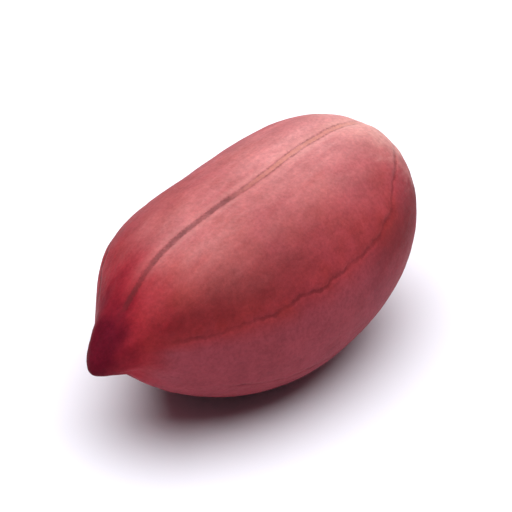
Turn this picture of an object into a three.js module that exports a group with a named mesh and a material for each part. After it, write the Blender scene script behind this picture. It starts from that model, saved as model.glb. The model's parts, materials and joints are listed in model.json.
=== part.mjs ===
// One shelled peanut kernel in its red skin, lying on a surface with its main vein on top.
//
// Millimetres, +Z up. The long axis runs along X: the beak, which is the tip of the little
// root, points to -X, and the round end to +X. The origin is under the middle of the kernel,
// on the surface that it rests on.

import * as THREE from 'three';

// Body: a long egg whose two halves are superellipses. A fullness of 2 is an ellipse and more
// is squarer. A bluntness of 2 is a round end and less is a more pointed one.
const BODY_LENGTH = 18.4;
const BODY_WIDTH = 10.5;
const BODY_HEIGHT = 9.2;
const ROUND_END = { fullness: 2.5, bluntness: 2.0 };
const BEAK_END = { fullness: 2.0, bluntness: 1.46 };
const WIDENING = 0.01; // share by which the body widens towards the beak

// Curve: both ends rise from the belly, and lean a little to one side.
const BELLY_X = 1.0; // the lowest point of the curve, measured from the body's middle
const END_RISE = 1.15;
const END_LEAN = 0.19;

// Beak: a blunt cone drawn out of the pointed end. It bends down and to one side. Its foot
// spreads further on the side that runs smoothly into the body.
const BEAK_BASE_RADIUS = 1.75;
const BEAK_BASE_SPREAD = 0.27; // share added on the smooth side and taken off opposite
const BEAK_SMOOTH_SIDE = THREE.MathUtils.degToRad(50); // from the top towards +Y
const BEAK_REACH = new THREE.Vector3(-1.35, 0.65, -1.0);
const BEAK_TIP_ROUNDING = 0.3; // share of the base radius
const BEAK_FOOT_ROUNDING = 0.1; // share of the reach

// Vein: a shallow valley along the top.
const VEIN_DEPTH_SHARE = 0.03; // of the local radius
const VEIN_HALF_ANGLE = THREE.MathUtils.degToRad(10);

// Rest: the kernel lies with its beak a little lower, on a small flat spot.
const REST_PITCH = THREE.MathUtils.degToRad(3);
const FLAT_SPOT_DEPTH = 0.17;

// Facets: the rings lie closer together towards the beak.
const RINGS = 40;
const SIDES = 52;
const RING_CROWDING = 1.3;

const SKIN_COLOUR = 0xb9575d;
const SKIN_ROUGHNESS = 0.5;

const HALF_LENGTH = BODY_LENGTH / 2;

function bodyRadius(x) {
  const end = x > 0 ? ROUND_END : BEAK_END;
  const share = Math.min(Math.abs(x) / HALF_LENGTH, 1);
  const outline = (1 - share ** end.fullness) ** (1 / end.bluntness);
  return (BODY_WIDTH / 2) * outline * (1 - WIDENING * (x / HALF_LENGTH));
}

// The lathe turns about Y. Its profile runs from the beak end to the round end.
function bodyProfile() {
  const profile = [];
  for (let ring = 0; ring <= RINGS; ring += 1) {
    const angle = Math.PI * (ring / RINGS) ** RING_CROWDING;
    const x = -HALF_LENGTH * Math.cos(angle);
    const onAxis = ring === 0 || ring === RINGS;
    profile.push(new THREE.Vector2(onAxis ? 0 : bodyRadius(x), x));
  }
  return profile;
}

// How much of the beak's reach a point takes: nearly all at the tip, none past the base.
function beakShare(x, radius, fromTop) {
  if (x > 0) return 0;
  const spread = BEAK_BASE_SPREAD * Math.cos(fromTop - BEAK_SMOOTH_SIDE);
  const baseRadius = BEAK_BASE_RADIUS * (1 + spread);
  const inside = 1 - Math.hypot(radius / baseRadius, BEAK_TIP_ROUNDING);
  return (inside + Math.hypot(inside, BEAK_FOOT_ROUNDING)) / 2;
}

// Takes a point of the plain round body to its place on the kernel.
function shapePoint(point) {
  const radius = Math.hypot(point.y, point.z);
  const fromTop = Math.atan2(point.y, point.z);
  const lift = beakShare(point.x, radius, fromTop);
  const valley = 1 - VEIN_DEPTH_SHARE * Math.exp(-((fromTop / VEIN_HALF_ANGLE) ** 2));
  const bend = ((point.x - BELLY_X) / HALF_LENGTH) ** 2;
  point.y = point.y * valley + END_LEAN * bend;
  point.z = point.z * valley * (BODY_HEIGHT / BODY_WIDTH) + END_RISE * bend;
  point.addScaledVector(BEAK_REACH, lift);
}

function shapeBody(geometry) {
  const positions = geometry.attributes.position;
  const point = new THREE.Vector3();
  for (let index = 0; index < positions.count; index += 1) {
    point.fromBufferAttribute(positions, index);
    shapePoint(point);
    positions.setXYZ(index, point.x, point.y, point.z);
  }
}

// Sets the origin under the middle, and flattens the spot that the kernel lies on.
function restOnSurface(geometry) {
  geometry.computeBoundingBox();
  const middle = geometry.boundingBox.getCenter(new THREE.Vector3());
  const lowest = geometry.boundingBox.min.z;
  geometry.translate(-middle.x, -middle.y, -lowest - FLAT_SPOT_DEPTH);
  const positions = geometry.attributes.position;
  for (let index = 0; index < positions.count; index += 1) {
    positions.setZ(index, Math.max(positions.getZ(index), 0));
  }
}

function kernelGeometry() {
  const geometry = new THREE.LatheGeometry(bodyProfile(), SIDES);
  geometry.rotateZ(-Math.PI / 2);
  shapeBody(geometry);
  geometry.rotateY(-REST_PITCH);
  restOnSurface(geometry);
  geometry.computeVertexNormals();
  return geometry;
}

function kernelMesh() {
  const skin = new THREE.MeshStandardMaterial({
    color: SKIN_COLOUR,
    roughness: SKIN_ROUGHNESS,
    metalness: 0,
  });
  const mesh = new THREE.Mesh(kernelGeometry(), skin);
  mesh.name = 'peanut_kernel';
  return mesh;
}

const peanut = new THREE.Group();
peanut.add(kernelMesh());

export default peanut;
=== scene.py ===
"""A shelled peanut kernel in its red skin, resting on a white surface.

Kernel sizes are in millimetres and angles in degrees, in the row frame: +X from the beak to the
round end, +Z up through the main vein. Vertices are turned into metres when the mesh is made.
Angles around the kernel are counted from the top, and are positive towards +Y. A share along
the kernel runs from -1 at the beak end to 1 at the round end.
"""
import json
import math

import bpy
import numpy as np
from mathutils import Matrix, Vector, noise

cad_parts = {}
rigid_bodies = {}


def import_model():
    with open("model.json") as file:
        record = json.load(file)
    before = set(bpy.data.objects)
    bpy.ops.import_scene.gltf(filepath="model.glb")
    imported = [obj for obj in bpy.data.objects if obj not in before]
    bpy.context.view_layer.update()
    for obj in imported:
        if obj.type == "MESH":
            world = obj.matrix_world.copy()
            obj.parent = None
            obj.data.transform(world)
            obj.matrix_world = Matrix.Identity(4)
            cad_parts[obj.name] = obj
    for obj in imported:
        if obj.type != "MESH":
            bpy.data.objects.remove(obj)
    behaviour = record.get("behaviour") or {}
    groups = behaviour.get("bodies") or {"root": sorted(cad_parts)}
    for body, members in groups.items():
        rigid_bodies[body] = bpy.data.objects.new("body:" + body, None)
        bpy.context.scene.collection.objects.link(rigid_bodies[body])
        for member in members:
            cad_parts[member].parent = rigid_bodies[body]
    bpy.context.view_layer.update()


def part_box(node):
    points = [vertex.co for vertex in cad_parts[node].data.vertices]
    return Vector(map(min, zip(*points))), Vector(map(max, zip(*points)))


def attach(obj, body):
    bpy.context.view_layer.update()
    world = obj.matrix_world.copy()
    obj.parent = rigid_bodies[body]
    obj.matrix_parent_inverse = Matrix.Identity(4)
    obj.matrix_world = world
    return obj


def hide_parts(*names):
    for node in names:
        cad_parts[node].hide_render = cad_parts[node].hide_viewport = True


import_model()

NODE = "peanut_kernel"
MM = 0.001

# ---------------------------------------------------------------- the kernel's sizes

# Body: a long egg whose two halves are superellipses. A fullness of 2 is an ellipse and more
# is squarer. A bluntness of 2 is a round end and less is a more pointed one.
BODY_LENGTH = 18.4
BODY_WIDTH = 10.5
BODY_HEIGHT = 9.2
ROUND_END_FULLNESS = 2.5
ROUND_END_BLUNTNESS = 2.0
BEAK_END_FULLNESS = 2.0
BEAK_END_BLUNTNESS = 1.46
WIDENING = 0.01

# Curve of the body, the beak that is drawn out of it, and the way that it lies.
BELLY_X = 1.0
END_RISE = 1.15
END_LEAN = 0.19
BEAK_BASE_RADIUS = 1.75
BEAK_BASE_SPREAD = 0.27
BEAK_SMOOTH_SIDE = 50.0
BEAK_REACH = np.array([-1.35, 0.65, -1.0])
BEAK_TIP_ROUNDING = 0.3
BEAK_FOOT_ROUNDING = 0.1
REST_PITCH = 3.0
FLAT_SPOT_DEPTH = 0.17

# The valley that the main vein lies in.
VALLEY_DEPTH_SHARE = 0.03
VALLEY_HALF_ANGLE = 10.0

# Mesh: rings along the body, closer together towards the beak, and sides around it.
RINGS = 239
SIDES = 400
RING_CROWDING = 1.3
FIRST_RING = 0.024  # how far along the first ring is, so that the tip has no sliver triangles

# Relief of the skin. Waves are a rise or bend, features per millimetre, and a seed.
BODY_WAVES = (0.04, 0.28, 41)
FIBRE_WAVES = [(0.02, 1.6, 43), (0.01, 4.5, 45)]
FIBRE_STRETCH = np.array([0.35, 1.0, 1.0])

# A groove is a bell as wide as its vein, times the widening, plus the edge.
GROOVE_WIDENING = 1.6
GROOVE_EDGE = 0.04
GROOVE_SIDE_RISE = 0.45  # share of the groove's depth
GROOVE_SIDE_WIDTH = 0.7
MAIN_GROOVE_EDGE = 0.12

BEAK_FOLDS = 7
BEAK_FOLD_RISE = 0.04
BEAK_FOLD_WAVES = (2.0, 0.5, 47)
BEAK_FOLDS_BEGIN = (0.8, 1.8)  # millimetres from the tip
BEAK_FOLDS_END = (2.2, 4.5)

WRINKLE_RISE = 0.045
WRINKLE_WAVES = (2.0, 1.3, 51)
WRINKLE_REACH = 2.2
WRINKLE_STRETCH = np.array([1.0, 0.5, 1.0])
SMOOTH_END_RADIUS = 0.5  # grooves, folds and wrinkles fade out where the two ends close

# The dry patch on the round end, whose whitish colour also serves as painted highlight there.
CROWN_SHARE = 0.92
CROWN_ANGLE = -14.0

HALF_LENGTH = BODY_LENGTH / 2


# ---------------------------------------------------------------- helpers

def smooth(low, high, value):
    """0 below low, 1 above high, and a smooth rise between them."""
    share = np.clip((value - low) / (high - low), 0.0, 1.0)
    return share * share * (3.0 - 2.0 * share)


def bell(distance, half_width):
    return np.exp(-((distance / half_width) ** 2))


def wrap_angle(degrees):
    return (degrees + 180.0) % 360.0 - 180.0


def noise_at(points, scale, seed):
    """Smooth noise from about -1 to 1 at each point, with features of about 1 / scale."""
    offset = Vector((seed * 17.3, seed * 5.1, seed * 9.7))
    flat = points.reshape(-1, 3) * scale
    values = [noise.noise(Vector(p) + offset) for p in flat]
    return np.array(values).reshape(points.shape[:-1])


def noise_along(values, scale, seed):
    """Smooth noise along one coordinate."""
    points = np.zeros(values.shape + (3,))
    points[..., 0] = values
    return noise_at(points, scale, seed)


# ---------------------------------------------------------------- veins

# How a vein strays from its line: bends per share, part of its wander, and step of its seed.
STRAYINGS = [(1.7, 1.0, 0), (9.0, 0.6, 1), (24.0, 0.28, 5)]
# How it breaks up: breaks per share, and step of its seed.
BREAKINGS = [(5.0, 2), (17.0, 3)]
FORK_WANDER = 1.5


class Vein:
    """A vein along the kernel. Its turns bend it off its angle at the two ends."""

    fade_in = 0.12
    fade_out = 0.15

    def __init__(self, angle, start, stop, half_width, depth, darkness,
                 wander, seed, end_turn=0.0, beak_turn=0.0, gaps=0.5):
        self.angle = angle
        self.start = start
        self.stop = stop
        self.half_width = half_width
        self.depth = depth
        self.darkness = darkness
        self.wander = wander
        self.seed = seed
        self.end_turn = end_turn
        self.beak_turn = beak_turn
        self.gaps = gaps

    def angle_at(self, share):
        angle = self.angle + self.end_turn * smooth(0.3, 0.95, share)
        angle = angle + self.beak_turn * smooth(0.0, 0.7, -share)
        for per_share, part, step in STRAYINGS:
            angle = angle + part * self.wander * noise_along(share, per_share, self.seed + step)
        return angle

    def strength_at(self, share):
        begun = smooth(self.start, self.start + self.fade_in, share)
        ended = smooth(self.stop - self.fade_out, self.stop, share)
        breaks = 0.0
        for per_share, step in BREAKINGS:
            breaks = breaks + noise_along(share, per_share, self.seed + step)
        return begun * (1.0 - ended) * np.clip(1.0 + self.gaps * (breaks - 0.5), 0.0, 1.0)


class Fork(Vein):
    """A side vein that leaves another one at its start, by slant degrees per share."""

    early = 0.01
    fade_in = 0.03
    fade_out = 0.12

    def __init__(self, parent, start, stop, slant, half_width, depth, darkness, seed):
        super().__init__(0.0, start, stop, half_width, depth, darkness, FORK_WANDER, seed)
        self.parent = parent
        self.slant = slant

    def angle_at(self, share):
        return self.parent.angle_at(share) + self.slant * np.maximum(share - self.start, 0.0)

    def strength_at(self, share):
        begun = smooth(self.start - self.early, self.start + self.fade_in, share)
        ended = smooth(self.stop - self.fade_out, self.stop, share)
        return begun * (1.0 - ended)


MAIN_VEIN = Vein(2.0, -0.92, 0.9, 0.05, 0.035, 1.0, wander=0.8, seed=1,
                 end_turn=-1.5, beak_turn=8.0, gaps=0.2)
FLANK_VEIN = Vein(-65.0, -0.9, 0.97, 0.06, 0.06, 0.56, wander=5.0, seed=4,
                  end_turn=28.0, gaps=0.5)
LOW_VEIN = Vein(-119.0, -0.7, 0.85, 0.06, 0.05, 0.5, wander=5.0, seed=7, end_turn=10.0)
BACK_VEIN = Vein(63.0, -0.84, 0.93, 0.09, 0.09, 1.0, wander=6.0, seed=11, end_turn=-12.0)
BACK_LOW_VEIN = Vein(121.0, -0.8, 0.9, 0.07, 0.06, 0.7, wander=6.0, seed=15, end_turn=-10.0)
BELLY_VEIN = Vein(178.0, -0.75, 0.8, 0.06, 0.04, 0.6, wander=7.0, seed=19)
SIDE_VEINS = [
    FLANK_VEIN, LOW_VEIN, BACK_VEIN, BACK_LOW_VEIN, BELLY_VEIN,
    Fork(BACK_VEIN, 0.35, 0.75, 60.0, 0.06, 0.05, 0.8, seed=27),
    Fork(BACK_VEIN, -0.3, 0.1, -55.0, 0.05, 0.03, 0.5, seed=29),
    Fork(BACK_LOW_VEIN, -0.1, 0.3, 50.0, 0.05, 0.03, 0.5, seed=31),
    Fork(BELLY_VEIN, -0.2, 0.35, 45.0, 0.05, 0.03, 0.5, seed=33),
]

# Half the strip between the main vein's two lines, at the beak and at the round end.
CLOSED_GAP = 0.115
OPEN_GAP = 0.15

# Soft swells and dents: share along, angle, rise and size.
SWELLS = [
    (-0.43, 66.0, 0.31, 2.7),
    (-0.7, 80.0, -0.17, 2.0),
    (0.7, 45.0, 0.1, 2.5),
]


# ---------------------------------------------------------------- the kernel's shape

def body_radius(x):
    share = np.clip(np.abs(x) / HALF_LENGTH, 0.0, 1.0)
    fullness = np.where(x > 0, ROUND_END_FULLNESS, BEAK_END_FULLNESS)
    bluntness = np.where(x > 0, ROUND_END_BLUNTNESS, BEAK_END_BLUNTNESS)
    outline = (1.0 - share ** fullness) ** (1.0 / bluntness)
    return BODY_WIDTH / 2 * outline * (1.0 - WIDENING * x / HALF_LENGTH)


def body_grid():
    """x and the angle from the top at each vertex of the plain body, as rings by sides."""
    steps = np.concatenate([[0.0], np.linspace(FIRST_RING, 1.0, RINGS)])
    turn = np.pi * steps ** RING_CROWDING
    x = -HALF_LENGTH * np.cos(turn)
    angle = np.linspace(-180.0, 180.0, SIDES, endpoint=False)
    return np.meshgrid(x, angle, indexing="ij")


def base_points(x, angle):
    """The kernel without its relief, before it is laid down."""
    radius = body_radius(x)
    spread = BEAK_BASE_SPREAD * np.cos(np.radians(angle - BEAK_SMOOTH_SIDE))
    inside = 1.0 - np.hypot(radius / (BEAK_BASE_RADIUS * (1.0 + spread)), BEAK_TIP_ROUNDING)
    lift = np.where(x < 0, (inside + np.hypot(inside, BEAK_FOOT_ROUNDING)) / 2, 0.0)
    off_vein = wrap_angle(angle - MAIN_VEIN.angle_at(x / HALF_LENGTH))
    valley = 1.0 - VALLEY_DEPTH_SHARE * bell(off_vein, VALLEY_HALF_ANGLE)
    bend = ((x - BELLY_X) / HALF_LENGTH) ** 2
    turn = np.radians(angle)
    y = radius * np.sin(turn) * valley + END_LEAN * bend
    z = radius * np.cos(turn) * valley * BODY_HEIGHT / BODY_WIDTH + END_RISE * bend
    return np.stack([x, y, z], axis=-1) + lift[..., None] * BEAK_REACH


def swells(points, share, angle):
    height = np.zeros(share.shape)
    for at_share, at_angle, rise, size in SWELLS:
        miss = np.abs(share - at_share) + np.abs(wrap_angle(angle - at_angle)) / 90.0
        centre = points.reshape(-1, 3)[miss.argmin()]
        height += rise * bell(np.linalg.norm(points - centre, axis=-1), size)
    return height


def grid_normals(points):
    around = np.roll(points, -1, axis=1) - np.roll(points, 1, axis=1)
    along = np.gradient(points, axis=0)
    normals = np.cross(along, around)
    normals[0] = normals[1].mean(axis=0)
    normals[-1] = normals[-2].mean(axis=0)
    lengths = np.linalg.norm(normals, axis=-1, keepdims=True)
    return normals / np.maximum(lengths, 1e-12)


def lay_down(points):
    """Pitches the kernel, and rests it on its flat spot in the middle of the node's box."""
    pitch = math.radians(REST_PITCH)
    x = points[..., 0] * math.cos(pitch) - points[..., 2] * math.sin(pitch)
    z = points[..., 0] * math.sin(pitch) + points[..., 2] * math.cos(pitch)
    laid = np.stack([x, points[..., 1], z], axis=-1)
    low, high = (np.array(corner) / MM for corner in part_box(NODE))
    own_low = laid.min(axis=(0, 1))
    own_high = laid.max(axis=(0, 1))
    laid[..., :2] += (low + high)[:2] / 2 - (own_low + own_high)[:2] / 2
    laid[..., 2] += low[2] - own_low[2] - FLAT_SPOT_DEPTH
    laid[..., 2] = np.maximum(laid[..., 2], low[2])
    return laid


# What a vertex far from every side vein is given.
NO_VEIN_DISTANCE = 2.0
NO_VEIN_WIDTH = 0.05

FAINTEST_VEIN = 0.02
SIDE_VEIN_MARGIN = (0.22, 0.4)  # the strength of a vein ends between these distances
MAIN_VEIN_MARGIN = (0.6, 1.0)


def across_vein(vein, share, angle, radius):
    """Signed distance from a vein, around the kernel."""
    return np.radians(wrap_angle(angle - vein.angle_at(share))) * radius


def side_vein_fields(share, angle, radius):
    """Signed distance from the nearest side vein, its half width and its strength."""
    across = np.full(share.shape, NO_VEIN_DISTANCE)
    width = np.full(share.shape, NO_VEIN_WIDTH)
    strength = np.zeros(share.shape)
    for vein in SIDE_VEINS:
        distance = across_vein(vein, share, angle, radius)
        here = vein.strength_at(share) * vein.darkness
        near = (np.abs(distance) < np.abs(across)) & (here > FAINTEST_VEIN)
        across = np.where(near, distance, across)
        width = np.where(near, vein.half_width, width)
        here = here * (1.0 - smooth(*SIDE_VEIN_MARGIN, np.abs(distance)))
        strength = np.where(near, here, strength)
    return across, width, strength


def main_vein_fields(share, angle, radius):
    """Signed distance from the main vein, half the gap between its lines, and its strength."""
    across = across_vein(MAIN_VEIN, share, angle, radius)
    gap = CLOSED_GAP + (OPEN_GAP - CLOSED_GAP) * smooth(-0.35, 0.4, share)
    near = 1.0 - smooth(*MAIN_VEIN_MARGIN, np.abs(across))
    return across, gap, MAIN_VEIN.strength_at(share) * near


def relief(points, share, angle, radius, from_tip, from_crown):
    """How far the skin stands above the plain shape, in millimetres."""
    rise, per_mm, seed = BODY_WAVES
    height = rise * noise_at(points, per_mm, seed) + swells(points, share, angle)
    for rise, per_mm, seed in FIBRE_WAVES:
        height += rise * noise_at(points * FIBRE_STRETCH, per_mm, seed)
    lines = np.zeros(share.shape)
    for vein in SIDE_VEINS:
        distance = across_vein(vein, share, angle, radius)
        depth = vein.depth * vein.strength_at(share)
        lines -= depth * bell(distance, GROOVE_WIDENING * vein.half_width + GROOVE_EDGE)
        lines += depth * GROOVE_SIDE_RISE * bell(distance, GROOVE_SIDE_WIDTH)
    across, gap, strength = main_vein_fields(share, angle, radius)
    lines -= MAIN_VEIN.depth * strength * bell(across, gap + MAIN_GROOVE_EDGE)
    bend, per_mm, seed = BEAK_FOLD_WAVES
    folds = np.cos(np.radians(BEAK_FOLDS * angle) + bend * noise_at(points, per_mm, seed))
    around_beak = smooth(*BEAK_FOLDS_BEGIN, from_tip) * (1.0 - smooth(*BEAK_FOLDS_END, from_tip))
    lines += BEAK_FOLD_RISE * folds * around_beak
    rise, per_mm, seed = WRINKLE_WAVES
    wrinkles = 0.5 - rise * np.abs(noise_at(points * WRINKLE_STRETCH, per_mm, seed))
    lines += WRINKLE_RISE * wrinkles * bell(from_crown, WRINKLE_REACH)
    return height + lines * smooth(0.0, SMOOTH_END_RADIUS, radius)


# Bands of painted highlight, painted shade and painted floor reflection, then of the beak's red,
# as the angle of their middle and their half width.
# Painted highlight along the top.
HIGHLIGHT_BAND_TOP = (3.0, 34.0)
# Painted shade on the flanks, near the beak and near the round end.
SHADE_BAND_NEAR_BEAK = (46.0, 20.0)
SHADE_BAND_NEAR_ROUND_END = (76.0, 14.0)
BACK_SHADE_SHARE = 0.35  # the deep band near the beak is weaker on the +Y side
# Painted floor reflection underneath.
REFLECTION_MIDDLE = 14.0  # the mauve begins as far from this angle on both sides
REFLECTION_BEGINS = (76.0, 94.0)
RED_TOP = (17.0, 34.0)
RED_SHOULDER = (52.0, 34.0)
LESS_RED_SIDE = (-105.0, 60.0)
BEAK_REACH_FROM_TIP = 3.5


def band(angle, middle, half_width):
    return bell(wrap_angle(angle - middle), half_width)


def painted_light_bands(share, angle):
    """Painted light: a highlight on top, a band of shade on the flanks, a floor reflection
    underneath.
    """
    flank = np.abs(angle)
    # Painted highlight: a band along the top, stronger towards the round end.
    painted_highlight = band(angle, *HIGHLIGHT_BAND_TOP) * smooth(-0.85, -0.4, share)
    painted_highlight = painted_highlight * (0.6 + 0.44 * smooth(-0.1, 0.5, share))
    # Painted shade: darker bands on the flanks near the beak, mostly on the -Y side, and near
    # the round end.
    beak_half = smooth(-1.0, -0.8, share) * (1.0 - smooth(-0.5, 0.4, share))
    painted_shade = band(flank, *SHADE_BAND_NEAR_BEAK) * beak_half * np.where(angle < 0.0, 1.0, BACK_SHADE_SHARE)
    painted_shade = painted_shade + 0.9 * band(flank, *SHADE_BAND_NEAR_ROUND_END) * smooth(0.0, 0.5, share)
    # Painted floor reflection on the underside, fading out towards the round end.
    under = np.abs(wrap_angle(angle - REFLECTION_MIDDLE))
    painted_reflection = smooth(*REFLECTION_BEGINS, under) * smooth(-0.98, -0.85, share)
    painted_reflection = painted_reflection * (1.0 - 0.9 * smooth(0.45, 0.85, share))
    return np.stack([painted_highlight, painted_shade, painted_reflection], axis=-1)


def red_reach(from_tip, angle):
    """Distance from the tip, stretched where the red of the beak reaches less far."""
    on_beak = bell(from_tip, BEAK_REACH_FROM_TIP)
    top = 0.72 * on_beak * band(angle, *RED_TOP)
    shoulder = 0.33 * (1.0 - on_beak) * band(angle, *RED_SHOULDER)
    low_side = 0.75 * band(angle, *LESS_RED_SIDE)
    return from_tip * (1.0 - top - shoulder + low_side)


def kernel_vertices():
    x, angle = body_grid()
    share = x / HALF_LENGTH
    radius = body_radius(x)
    base = base_points(x, angle)
    from_tip = np.linalg.norm(base - base[0, 0], axis=-1)
    crown_ring = np.abs(share[:, 0] - CROWN_SHARE).argmin()
    crown_side = np.abs(angle[0] - CROWN_ANGLE).argmin()
    from_crown = np.linalg.norm(base - base[crown_ring, crown_side], axis=-1)
    height = relief(base, share, angle, radius, from_tip, from_crown)
    raised = base + grid_normals(base) * height[..., None]
    fields = {
        "main_vein": np.stack(main_vein_fields(share, angle, radius), axis=-1),
        "side_vein": np.stack(side_vein_fields(share, angle, radius), axis=-1),
        "painted_light_bands": painted_light_bands(share, angle),
        "from_tip": red_reach(from_tip, angle),
        "from_crown": from_crown,
    }
    return lay_down(raised), fields


def drop_repeats(grid):
    """A grid's values in vertex order, with one vertex at each end in place of a whole ring."""
    inner = grid[1:-1].reshape(-1, *grid.shape[2:])
    return np.concatenate([grid[:1, 0], inner, grid[-1:, 0]])


def kernel_faces():
    last = (RINGS - 1) * SIDES + 1
    faces = []
    for side in range(SIDES):
        after = (side + 1) % SIDES
        faces.append((0, 1 + side, 1 + after))
        for ring in range(RINGS - 2):
            start = 1 + ring * SIDES
            faces.append((start + side, start + SIDES + side,
                          start + SIDES + after, start + after))
        start = 1 + (RINGS - 2) * SIDES
        faces.append((start + side, last, start + after))
    return faces


def make_kernel():
    points, fields = kernel_vertices()
    mesh = bpy.data.meshes.new("kernel_in_skin")
    mesh.from_pydata(drop_repeats(points * MM).tolist(), [], kernel_faces())
    for name, grid in fields.items():
        values = drop_repeats(grid).astype(np.float32)
        kind = "FLOAT_VECTOR" if values.ndim == 2 else "FLOAT"
        attribute = mesh.attributes.new(name, kind, "POINT")
        attribute.data.foreach_set("vector" if values.ndim == 2 else "value", values.ravel())
    mesh.shade_smooth()
    mesh.update()
    kernel = bpy.data.objects.new("kernel_in_skin", mesh)
    bpy.context.scene.collection.objects.link(kernel)
    return kernel


# ---------------------------------------------------------------- material nodes

def linear(red, green, blue):
    """A screen colour, 0 to 255, as the linear RGBA that a shader takes."""
    parts = [part / 255.0 for part in (red, green, blue)]
    parts = [p / 12.92 if p <= 0.04045 else ((p + 0.055) / 1.055) ** 2.4 for p in parts]
    return (*parts, 1.0)


class Shader:
    """Builds a material's node tree, one small step at a time."""

    def __init__(self, name):
        self.material = bpy.data.materials.new(name)
        self.material.use_nodes = True
        self.tree = self.material.node_tree
        self.principled = self.tree.nodes["Principled BSDF"]

    def put(self, socket, value):
        if isinstance(value, bpy.types.NodeSocket):
            self.tree.links.new(value, socket)
        else:
            socket.default_value = value

    def node(self, kind, **settings):
        made = self.tree.nodes.new(kind)
        for name, value in settings.items():
            setattr(made, name, value)
        return made

    def attribute(self, name):
        """A value that each vertex of the mesh holds."""
        return self.node("ShaderNodeAttribute", attribute_name=name).outputs["Fac"]

    def attribute_parts(self, name):
        """The three values of a vector that each vertex of the mesh holds."""
        vector = self.node("ShaderNodeAttribute", attribute_name=name).outputs["Vector"]
        parts = self.node("ShaderNodeSeparateXYZ")
        self.put(parts.inputs[0], vector)
        return parts.outputs

    def maths(self, operation, first, second=0.0, clamp=False):
        made = self.node("ShaderNodeMath", operation=operation, use_clamp=clamp)
        self.put(made.inputs[0], first)
        self.put(made.inputs[1], second)
        return made.outputs[0]

    def ramp(self, value, low, high, to_low=0.0, to_high=1.0):
        """value from low..high to to_low..to_high, eased at both ends."""
        made = self.node("ShaderNodeMapRange", interpolation_type="SMOOTHSTEP")
        for socket, given in zip(made.inputs, (value, low, high, to_low, to_high)):
            self.put(socket, given)
        return made.outputs[0]

    def fade(self, distance, reach, strength=1.0):
        """strength inside the first distance of reach, and 0 past the second."""
        return self.ramp(distance, *reach, strength, 0.0)

    def vary(self, noise_value, half_range, low, high):
        """A noise, which lies around a half, as a value from low to high."""
        return self.ramp(noise_value, 0.5 - half_range, 0.5 + half_range, low, high)

    def mix(self, factor, first, second, blend="MIX"):
        made = self.node("ShaderNodeMix", data_type="RGBA", blend_type=blend)
        colour_sockets = [socket for socket in made.inputs if socket.type == "RGBA"]
        self.put(made.inputs[0], factor)
        self.put(colour_sockets[0], first)
        self.put(colour_sockets[1], second)
        return next(socket for socket in made.outputs if socket.type == "RGBA")

    def times(self, first, second, clamp=False):
        return self.maths("MULTIPLY", first, second, clamp)

    def noise(self, vector, per_mm, detail, roughness):
        made = self.node("ShaderNodeTexNoise")
        self.put(made.inputs["Vector"], vector)
        self.put(made.inputs["Scale"], per_mm / MM)
        self.put(made.inputs["Detail"], detail)
        self.put(made.inputs["Roughness"], roughness)
        return made.outputs[0]

    def place(self, x=1.0, y=1.0, z=1.0):
        """Object coordinates scaled on each axis."""
        made = self.node("ShaderNodeMapping")
        coordinates = self.node("ShaderNodeTexCoord")
        self.put(made.inputs["Vector"], coordinates.outputs["Object"])
        self.put(made.inputs["Scale"], (x, y, z))
        return made.outputs[0]

    def bump(self, height, depth_mm, strength, below=None):
        made = self.node("ShaderNodeBump")
        self.put(made.inputs["Height"], height)
        self.put(made.inputs["Distance"], depth_mm * MM)
        self.put(made.inputs["Strength"], strength)
        if below is not None:
            self.put(made.inputs["Normal"], below)
        return made.outputs[0]


# ---------------------------------------------------------------- the skin

DUSTY_PINK = linear(152, 56, 65)
DEEP_RED = linear(146, 47, 46)
CRIMSON = linear(146, 27, 41)
MAROON = linear(88, 12, 30)
VEIN_BROWN = linear(66, 34, 36)
VEIN_RED = linear(78, 26, 30)
STRIP_TAN = linear(182, 122, 99)
# Whitish: the dry crown, partly painted highlight, and the painted highlight on the main vein's
# lips.
DRY_AND_HIGHLIGHT_PALE = linear(216, 161, 153)
# Painted highlight along the top.
HIGHLIGHT_PINK = linear(197, 131, 131)
# Painted shade on the flanks.
PAINTED_SHADE_RED = linear(112, 30, 35)
# Painted floor reflection on the underside.
REFLECTION_MAUVE = linear(143, 64, 74)

# Noises over the skin: features per millimetre, detail and roughness.
CLOUDS = (0.35, 3.0, 0.55)
BLOTCHES = (0.95, 5.0, 0.66)
# Patches in the painted shade.
SHADE_PATCHES = (1.5, 4.0, 0.65)
SMEARS = (4.0, 4.0, 0.7)
SPECKLE = (6.0, 3.0, 0.7)
GRAIN = (9.0, 3.0, 0.6)
FINE_GRAIN = (12.0, 3.0, 0.65)
BREAKS = (2.2, 2.0, 0.5)

# Noises that are drawn out along the kernel, as its fibres are.
WISPS = (0.9, 2.0, 0.5)
STREAKS = (1.6, 4.0, 0.6)
FIBRES = (3.2, 4.0, 0.65)
FIBRE_X_SCALE = 0.22

CLOUD_RANGE = (0.35, 0.68)
STREAK_RANGE = (0.3, 0.75)

# Reach of a colour: full inside the first distance, and gone at the second.
CRIMSON_REACH = (2.4, 6.0)  # from the tip
MAROON_REACH = (0.6, 4.1)
RED_STRAYS = 0.7
# The dry crown is partly painted highlight.
DRY_AND_HIGHLIGHT_REACH = (0.2, 3.8)  # from the crown
DRY_AND_HIGHLIGHT_STRAYS = 0.9

# How much of a colour shows at most.
# Painted floor reflection.
REFLECTION_STRENGTH = 0.8
CRIMSON_STRENGTH = 0.7
MAROON_STRENGTH = 0.95
# The dry crown, partly painted highlight.
DRY_AND_HIGHLIGHT_STRENGTH = 0.76
STREAK_STRENGTH = 0.35
SIDE_VEIN_STRENGTH = 0.75
# Painted highlight on the main vein's lips.
LIP_HIGHLIGHT_STRENGTH = 0.2

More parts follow.
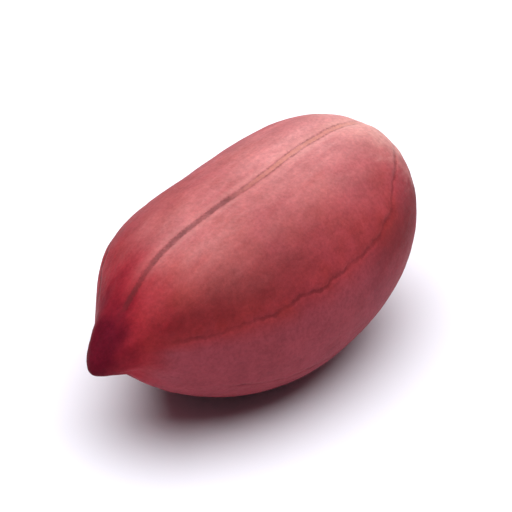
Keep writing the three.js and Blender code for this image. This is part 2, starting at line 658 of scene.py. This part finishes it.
# Soft edges of the veins, as distances at which they begin and end. Those of the main vein are
# measured inwards from its two lines.
SIDE_VEIN_EDGE = (-0.02, 0.06)
STRIP_OPENS = (0.12, 0.144)  # half gaps
LIP_INNER_EDGE = (-0.16, -0.03)
LIP_OUTER_EDGE = (-0.45, -0.18)
BAND_EDGE = (-0.1, 0.07)
STRIP_EDGE = (-0.04, 0.08)
LINE_EDGE = (0.0, 0.09)


def skin_colour(shader, even, fibres, grain):
    """Dusty pink to darker red, painted highlight, shade and floor reflection, a red beak and a
    dry crown.
    """
    clouds = shader.noise(even, *CLOUDS)
    streaks = shader.noise(fibres, *STREAKS)
    colour = shader.mix(shader.ramp(clouds, *CLOUD_RANGE), DUSTY_PINK, DEEP_RED)
    streaky = shader.ramp(streaks, *STREAK_RANGE, 0.0, STREAK_STRENGTH)
    colour = shader.mix(streaky, colour, DEEP_RED)

    # Painted light: a highlight along the top, patchy shade on the flanks and a floor reflection
    # underneath.
    painted_highlight, painted_shade, painted_reflection = shader.attribute_parts("painted_light_bands")
    shade_patches = shader.noise(even, *SHADE_PATCHES)
    patchy_shade = shader.times(painted_shade, shader.vary(shade_patches, 0.2, 0.78, 1.02), clamp=True)
    streaky_highlight = shader.times(painted_highlight, shader.vary(streaks, 0.25, 0.7, 1.12))
    # Painted floor reflection underneath.
    colour = shader.mix(shader.times(painted_reflection, REFLECTION_STRENGTH), colour, REFLECTION_MAUVE)
    # Painted shade on the flanks, made patchy.
    colour = shader.mix(patchy_shade, colour, PAINTED_SHADE_RED)
    # Painted highlight along the top, in streaks.
    colour = shader.mix(streaky_highlight, colour, HIGHLIGHT_PINK)

    wisps = shader.noise(fibres, *WISPS)
    strayed = shader.vary(wisps, 0.25, -RED_STRAYS, RED_STRAYS)
    from_tip = shader.maths("ADD", shader.attribute("from_tip"), strayed)
    crimson = shader.fade(from_tip, CRIMSON_REACH, CRIMSON_STRENGTH)
    colour = shader.mix(crimson, colour, CRIMSON)
    maroon = shader.fade(from_tip, MAROON_REACH, MAROON_STRENGTH)
    colour = shader.mix(maroon, colour, MAROON)

    # The dry crown: a real whitish patch that also stands in as painted highlight on the round
    # end.
    strayed = shader.vary(streaks, 0.3, -DRY_AND_HIGHLIGHT_STRAYS, DRY_AND_HIGHLIGHT_STRAYS)
    from_crown = shader.maths("ADD", shader.attribute("from_crown"), strayed)
    dry_and_highlight = shader.fade(from_crown, DRY_AND_HIGHLIGHT_REACH, DRY_AND_HIGHLIGHT_STRENGTH)
    colour = shader.mix(dry_and_highlight, colour, DRY_AND_HIGHLIGHT_PALE)

    blotches = shader.noise(even, *BLOTCHES)
    speckle = shader.noise(even, *SPECKLE)
    colour = shader.mix(1.0, colour, shader.vary(blotches, 0.25, 0.875, 1.125), "MULTIPLY")
    colour = shader.mix(1.0, colour, shader.vary(speckle, 0.25, 0.87, 1.13), "MULTIPLY")
    colour = add_side_veins(shader, colour, even)
    return add_main_vein(shader, colour, even, grain, painted_highlight)


def add_side_veins(shader, colour, even):
    """Thin dark red lines of uneven width."""
    across, half_width, strength = shader.attribute_parts("side_vein")
    smears = shader.noise(even, *SMEARS)
    uneven = shader.times(half_width, shader.vary(smears, 0.2, 0.4, 2.0))
    outside = shader.maths("SUBTRACT", shader.maths("ABSOLUTE", across), uneven)
    line = shader.times(shader.fade(outside, SIDE_VEIN_EDGE), strength, clamp=True)
    return shader.mix(shader.times(line, SIDE_VEIN_STRENGTH), colour, VEIN_RED)


def add_main_vein(shader, colour, even, grain, painted_highlight):
    """A soft brown band that opens, towards the round end, into two lines and a tan strip."""
    across, gap, strength = shader.attribute_parts("main_vein")
    inside = shader.maths("SUBTRACT", gap, shader.maths("ABSOLUTE", across))
    opened = shader.ramp(gap, *STRIP_OPENS)
    shut = shader.maths("SUBTRACT", 1.0, opened)
    breaks = shader.noise(even, *BREAKS)

    # Painted highlight on the raised lips beside the main vein, within the top's painted
    # highlight band.
    beside = shader.times(shader.fade(inside, LIP_INNER_EDGE),
                          shader.ramp(inside, *LIP_OUTER_EDGE))
    lip_highlight = shader.times(shader.times(beside, strength), painted_highlight, clamp=True)
    colour = shader.mix(shader.times(lip_highlight, LIP_HIGHLIGHT_STRENGTH), colour, DRY_AND_HIGHLIGHT_PALE)

    ragged = shader.maths("ADD", inside, shader.vary(grain, 0.2, -0.06, 0.06))
    soft_band = shader.times(shader.ramp(ragged, *BAND_EDGE), strength, clamp=True)
    soft_band = shader.times(soft_band, shader.vary(breaks, 0.15, 0.5, 0.64))
    colour = shader.mix(shader.times(soft_band, shut), colour, VEIN_BROWN)

    strip = shader.times(shader.ramp(inside, *STRIP_EDGE), strength, clamp=True)
    patches = shader.times(opened, shader.vary(grain, 0.2, 0.2, 0.65))
    colour = shader.mix(shader.times(strip, patches), colour, STRIP_TAN)

    off_line = shader.maths("ADD", shader.maths("ABSOLUTE", inside),
                            shader.vary(grain, 0.2, -0.03, 0.05))
    line = shader.times(shader.fade(off_line, LINE_EDGE), strength, clamp=True)
    line = shader.times(line, shader.ramp(breaks, 0.35, 0.6, 0.45, 1.0))
    depth = shader.ramp(opened, 0.0, 1.0, 0.25, 0.6)
    return shader.mix(shader.times(line, depth), colour, VEIN_BROWN)


def skin_relief(shader, even, fibres):
    """Fine fibres along the kernel, with a finer grain over them."""
    fibre_height = shader.noise(fibres, *FIBRES)
    grain_height = shader.noise(even, *FINE_GRAIN)
    normal = shader.bump(fibre_height, depth_mm=0.03, strength=0.5)
    return shader.bump(grain_height, depth_mm=0.012, strength=0.8, below=normal)


def skin_material():
    shader = Shader("peanut_skin")
    even = shader.place()
    fibres = shader.place(x=FIBRE_X_SCALE)
    grain = shader.noise(even, *GRAIN)
    inputs = shader.principled.inputs
    shader.put(inputs["Base Color"], skin_colour(shader, even, fibres, grain))
    shader.put(inputs["Roughness"], shader.vary(grain, 0.3, 0.48, 0.62))
    shader.put(inputs["Normal"], skin_relief(shader, even, fibres))
    inputs["IOR"].default_value = 1.45
    inputs["Specular IOR Level"].default_value = 0.05
    inputs["Subsurface Weight"].default_value = 0.08
    inputs["Subsurface Radius"].default_value = (1.0, 0.35, 0.25)
    inputs["Subsurface Scale"].default_value = 0.6 * MM
    return shader.material


# ---------------------------------------------------------------- stage, light and camera

VIEW_AZIMUTH = -52.4
VIEW_ELEVATION = 35.0
VIEW_DISTANCE = 300.0
VIEW_WIDTH = 21.9
SENSOR_WIDTH = 36.0
AIM = Vector((0.0, 0.0, 4.8))
AIM_RIGHT = 0.48
AIM_UP = 0.6
NEAREST = 0.01  # metres
FARTHEST = 20.0  # metres


def view_axes():
    """The directions that the camera calls right, up and forward."""
    azimuth = math.radians(VIEW_AZIMUTH)
    elevation = math.radians(VIEW_ELEVATION)
    right = Vector((math.cos(azimuth), math.sin(azimuth), 0.0))
    forward = Vector((-math.sin(azimuth) * math.cos(elevation),
                      math.cos(azimuth) * math.cos(elevation),
                      -math.sin(elevation)))
    return right, right.cross(forward), forward


def make_camera():
    right, up, forward = view_axes()
    aim = AIM + AIM_RIGHT * right + AIM_UP * up
    camera_data = bpy.data.cameras.new("view")
    camera_data.sensor_width = SENSOR_WIDTH
    camera_data.lens = SENSOR_WIDTH * VIEW_DISTANCE / VIEW_WIDTH
    camera_data.clip_start = NEAREST
    camera_data.clip_end = FARTHEST
    camera = bpy.data.objects.new("view", camera_data)
    camera.location = (aim - VIEW_DISTANCE * forward) * MM
    camera.rotation_euler = forward.to_track_quat("-Z", "Y").to_euler()
    bpy.context.scene.collection.objects.link(camera)
    bpy.context.scene.camera = camera


FLOOR_HALF_SIZE = 3.0  # metres
FLOOR_WHITE = (0.84, 0.835, 0.9, 1.0)
FLOOR_ROUGHNESS = 0.9
FLOOR_SPECULAR = 0.1


def make_floor():
    half = FLOOR_HALF_SIZE
    mesh = bpy.data.meshes.new("floor")
    mesh.from_pydata([(-half, -half, 0), (half, -half, 0), (half, half, 0), (-half, half, 0)],
                     [], [(0, 1, 2, 3)])
    shader = Shader("white_surface")
    shader.principled.inputs["Base Color"].default_value = FLOOR_WHITE
    shader.principled.inputs["Roughness"].default_value = FLOOR_ROUGHNESS
    shader.principled.inputs["Specular IOR Level"].default_value = FLOOR_SPECULAR
    mesh.materials.append(shader.material)
    floor = bpy.data.objects.new("floor", mesh)
    bpy.context.scene.collection.objects.link(floor)
    return floor


def add_sun(name, strength, spread, azimuth, elevation):
    """A soft light from a direction given as the view is: azimuth from +Y, elevation up."""
    data = bpy.data.lights.new(name, "SUN")
    data.energy = strength
    data.angle = math.radians(spread)
    light = bpy.data.objects.new(name, data)
    azimuth = math.radians(azimuth)
    elevation = math.radians(elevation)
    towards = Vector((math.sin(azimuth) * math.cos(elevation),
                      math.cos(azimuth) * math.cos(elevation), math.sin(elevation)))
    light.rotation_euler = towards.to_track_quat("Z", "Y").to_euler()
    bpy.context.scene.collection.objects.link(light)


ROOM_COLOUR = (0.92, 0.9, 1.0, 1.0)
ROOM_STRENGTH = 0.07


def make_light():
    add_sun("overhead", strength=4.6, spread=82.0, azimuth=45.0, elevation=85.0)
    world = bpy.data.worlds.new("room")
    world.use_nodes = True
    background = world.node_tree.nodes["Background"]
    background.inputs["Color"].default_value = ROOM_COLOUR
    background.inputs["Strength"].default_value = ROOM_STRENGTH
    bpy.context.scene.world = world
    bpy.context.scene.view_settings.view_transform = "Standard"


make_camera()
make_floor()
make_light()

kernel = make_kernel()
kernel.data.materials.append(skin_material())
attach(kernel, "root")
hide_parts(NODE)
